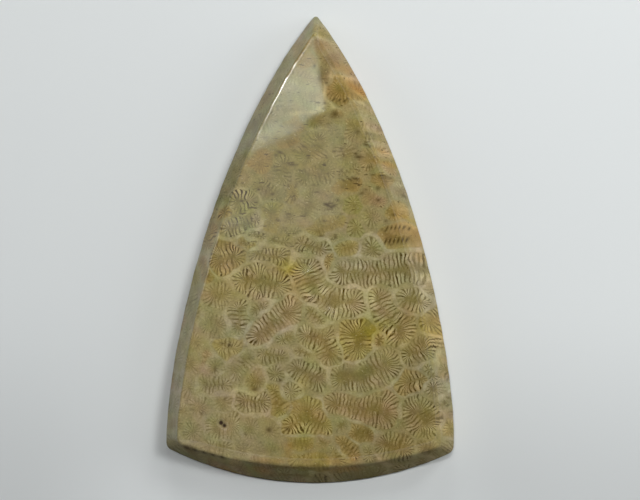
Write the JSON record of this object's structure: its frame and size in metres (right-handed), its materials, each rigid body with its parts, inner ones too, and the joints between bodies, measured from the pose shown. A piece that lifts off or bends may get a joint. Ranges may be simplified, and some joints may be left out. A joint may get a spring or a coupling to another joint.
{
  "type": "fossil coral cabochon",
  "caption": "Flat-backed, three-sided polished slab of fossil coral with bowed sides, a long tip and leaning walls, to set in a mount or lay on a surface.",
  "frame": {"origin": "middle of the bounding box in plan, on the plane of the flat back", "axes": "+Z out of the polished face, +Y along the long axis towards the tip"},
  "size_m": [0.032, 0.0522, 0.005],
  "materials": {
    "fossil_coral": "polished, olive tan with paler cell walls and darker gaps between the septa"
  },
  "bodies": {
    "root": {"fossil_coral_cabochon": "fossil_coral"}
  },
  "joints": []
}
